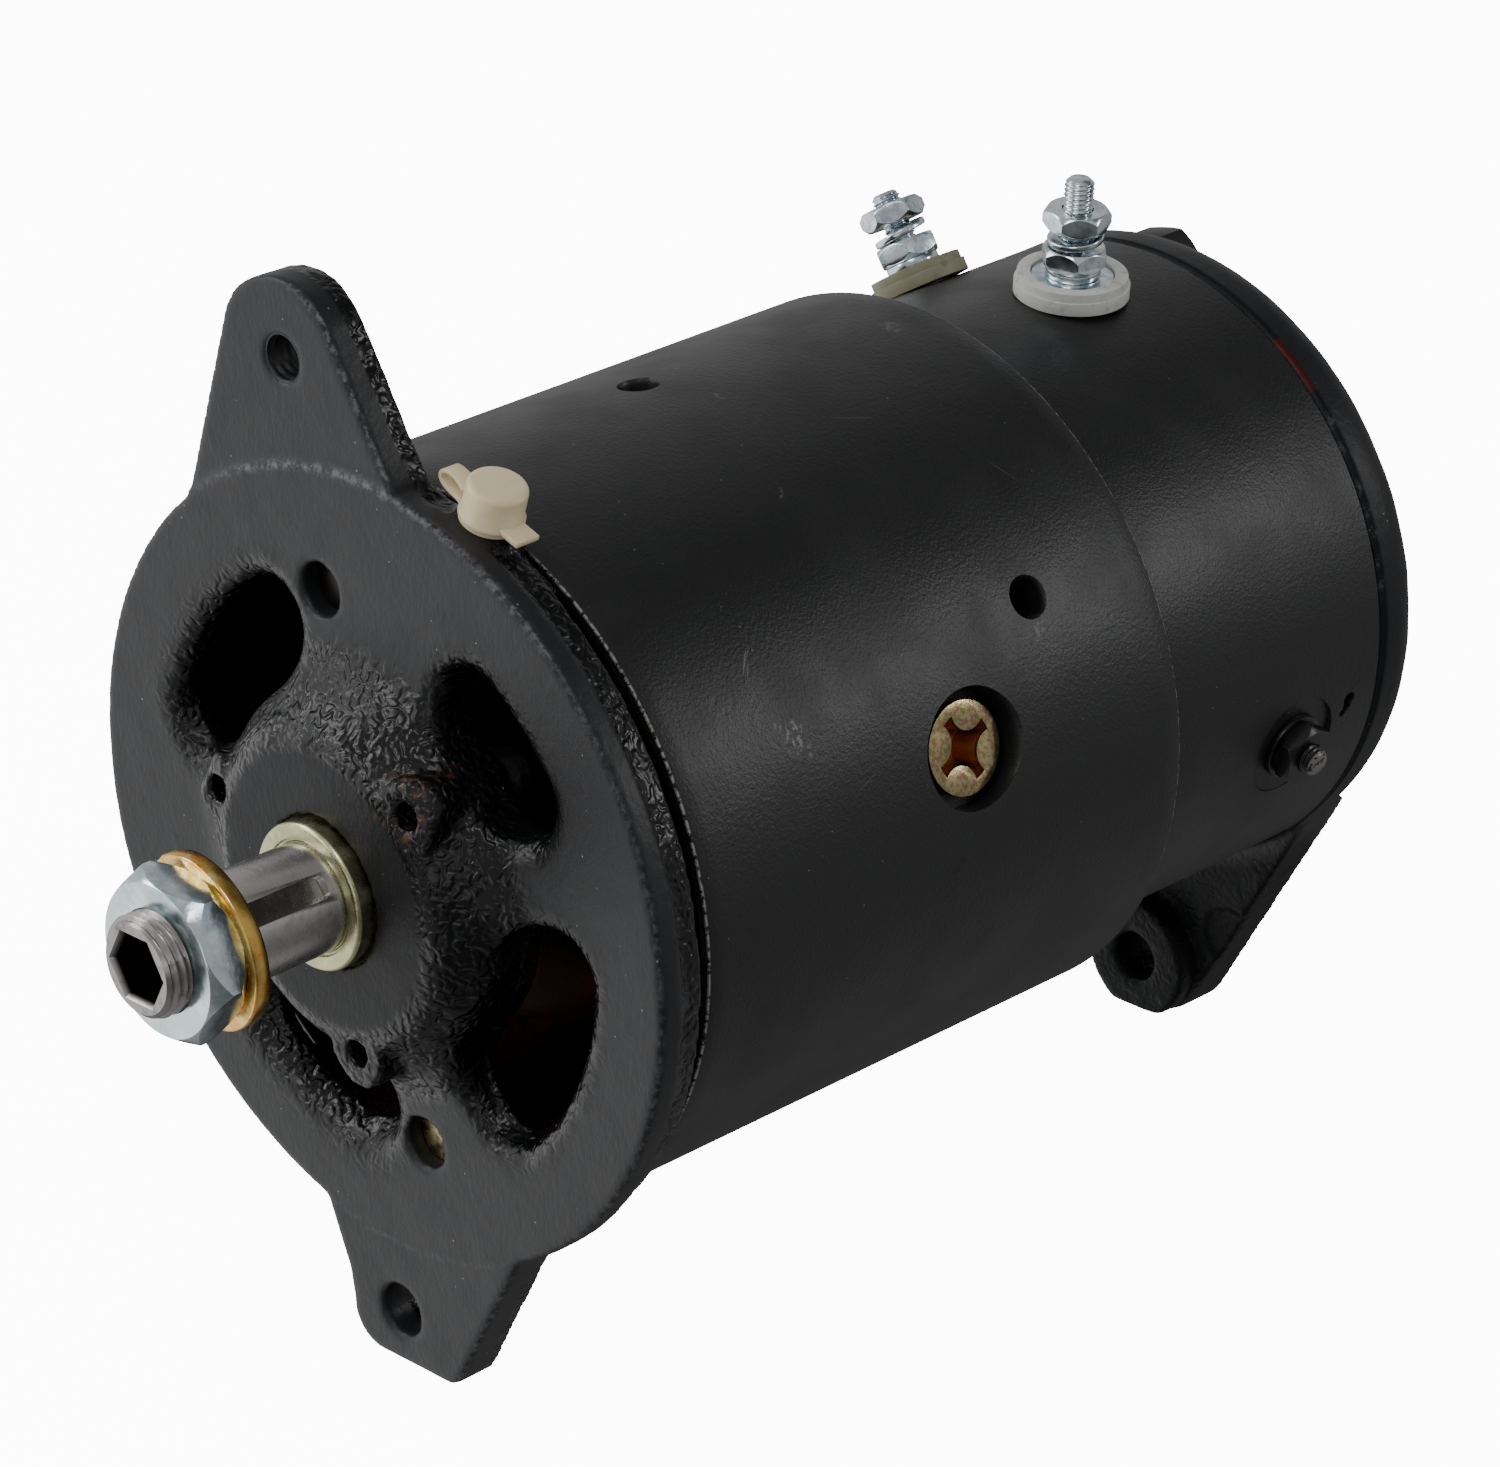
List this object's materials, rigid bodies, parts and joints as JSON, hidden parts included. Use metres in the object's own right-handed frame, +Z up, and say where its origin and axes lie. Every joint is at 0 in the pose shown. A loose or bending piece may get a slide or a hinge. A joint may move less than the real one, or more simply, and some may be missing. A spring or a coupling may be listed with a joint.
{
  "type": "tractor generator",
  "caption": "Two-pole direct-current generator with an open cast end plate, stepped round frame, two terminals, pivot and adjusting ears and a threaded pulley shaft.",
  "frame": {"origin": "on the shaft axis at the front face of the spacer collar, where a pulley's hub seats", "axes": "+Y runs along the shaft from the pulley end towards the commutator end, +Z is up with the pivot ears hanging down, +X is to the right when looking along +Y"},
  "size_m": [0.1234, 0.228, 0.1728],
  "materials": {
    "black_cast_iron": "black enamel over cast iron, satin on machined faces and glossy over the rough casting",
    "black_painted_steel": "satin black enamel with a fine orange peel, scuffed and chipped at the edges",
    "black_painted_hardware": "black enamel sprayed over the hardware, worn grey at the stud's tip",
    "bearing_steel": "ground and polished bearing steel",
    "brass_cage": "pressed brass",
    "plain_steel": "plain pressed and turned steel",
    "spring_steel": "hardened spring strip",
    "felt": "oiled grey felt",
    "pole_iron": "soft iron with a dark scale",
    "yellow_zinc": "iridescent yellow zinc plate",
    "gold_zinc": "deep golden zinc plate, smooth",
    "pale_yellow_zinc": "pale yellow-green zinc plate",
    "blue_zinc": "bright blue-white zinc plate, mottled on the flats",
    "bright_zinc": "bright zinc plate",
    "ground_shaft_steel": "ground steel, worn grey on the thread",
    "lamination_steel": "varnished steel laminations",
    "red_varnished_winding": "copper winding wrapped in tape under red insulating varnish",
    "dark_varnished_winding": "copper winding under dark insulating varnish",
    "commutator_copper": "turned copper with a brown brush film",
    "bronze": "oil-filled sintered bronze",
    "brush_carbon": "pressed carbon",
    "white_fibre": "off-white insulating fibre, slightly soiled",
    "olive_fibre": "olive-brown insulating fibre",
    "brown_fibre": "brown laminated fibre",
    "cream_plastic": "cream moulded plastic, softly glossy"
  },
  "bodies": {
    "stator": {"drive_end_frame": "black_cast_iron", "field_frame": "black_painted_steel", "commutator_end_frame": "black_cast_iron", "bearing_outer_ring": "bearing_steel", "bearing_retainer": "plain_steel", "bearing_retainer_screws": "plain_steel", "bearing_felt_seal": "felt", "right_pole_shoe": "pole_iron", "left_pole_shoe": "pole_iron", "pole_screws": "yellow_zinc", "right_field_coil": "red_varnished_winding", "left_field_coil": "red_varnished_winding", "through_bolts": "yellow_zinc", "through_bolt_lock_washers": "bright_zinc", "frame_dowel": "plain_steel", "commutator_end_bushing": "bronze", "bushing_end_plug": "black_painted_steel", "bushing_oil_wick": "felt", "armature_terminal_stud": "bright_zinc", "field_terminal_stud": "bright_zinc", "armature_terminal_insulators": "white_fibre", "field_terminal_insulators": "olive_fibre", "terminal_inner_insulators": "brown_fibre", "terminal_cup_washers": "bright_zinc", "terminal_flat_washers": "bright_zinc", "terminal_lower_nuts": "bright_zinc", "terminal_lock_washers": "bright_zinc", "terminal_upper_nuts": "bright_zinc", "ground_stud": "black_painted_hardware", "ground_washer": "black_painted_hardware", "ground_nut": "black_painted_hardware", "grounded_brush_holder": "plain_steel", "insulated_brush_holder": "plain_steel", "brush_holder_insulator": "brown_fibre", "brush_holder_screws": "plain_steel", "grounded_brush_spring": "spring_steel", "insulated_brush_spring": "spring_steel", "oiler_base": "cream_plastic", "oiler_hinge_strap": "cream_plastic"},
    "armature": {"shaft": "ground_shaft_steel", "spacer_collar": "pale_yellow_zinc", "shaft_lock_washer": "gold_zinc", "shaft_nut": "blue_zinc", "bearing_inner_ring": "bearing_steel", "armature_core": "lamination_steel", "armature_winding": "dark_varnished_winding", "commutator_bars": "commutator_copper", "commutator_body": "brown_fibre", "thrust_washer": "brown_fibre"},
    "bearing_cage_and_balls": {"bearing_balls": "bearing_steel", "bearing_cage": "brass_cage"},
    "grounded_brush": {"grounded_brush": "brush_carbon"},
    "insulated_brush": {"insulated_brush": "brush_carbon"},
    "oiler_lid": {"oiler_lid": "cream_plastic"}
  },
  "joints": [
    {"name": "armature_spin", "type": "hinge", "parent": "stator", "child": "armature", "pos_m": [0, 0, 0], "axis": [0, 1, 0], "continuous": true},
    {"name": "cage_spin", "type": "hinge", "parent": "stator", "child": "bearing_cage_and_balls", "pos_m": [0, 0.014, 0], "axis": [0, 1, 0], "continuous": true},
    {"name": "grounded_brush_slide", "type": "slide", "parent": "stator", "child": "grounded_brush", "axis": [0.9744, 0, 0.225], "range_m": [0, 0.006], "stiffness_N_per_m": 250, "springref_m": -0.03, "deforming": ["grounded_brush_spring"]},
    {"name": "insulated_brush_slide", "type": "slide", "parent": "stator", "child": "insulated_brush", "axis": [-0.9744, 0, -0.225], "range_m": [0, 0.006], "stiffness_N_per_m": 250, "springref_m": -0.03, "deforming": ["insulated_brush_spring"]},
    {"name": "oiler_lid_hinge", "type": "hinge", "parent": "stator", "child": "oiler_lid", "pos_m": [0.01381, 0.0212, 0.06237], "axis": [0, -1, 0], "range_deg": [0, 90], "deforming": ["oiler_hinge_strap"]}
  ],
  "couplings": [
    {"joint": "cage_spin", "follows": "armature_spin", "ratio": 0.38328}
  ]
}
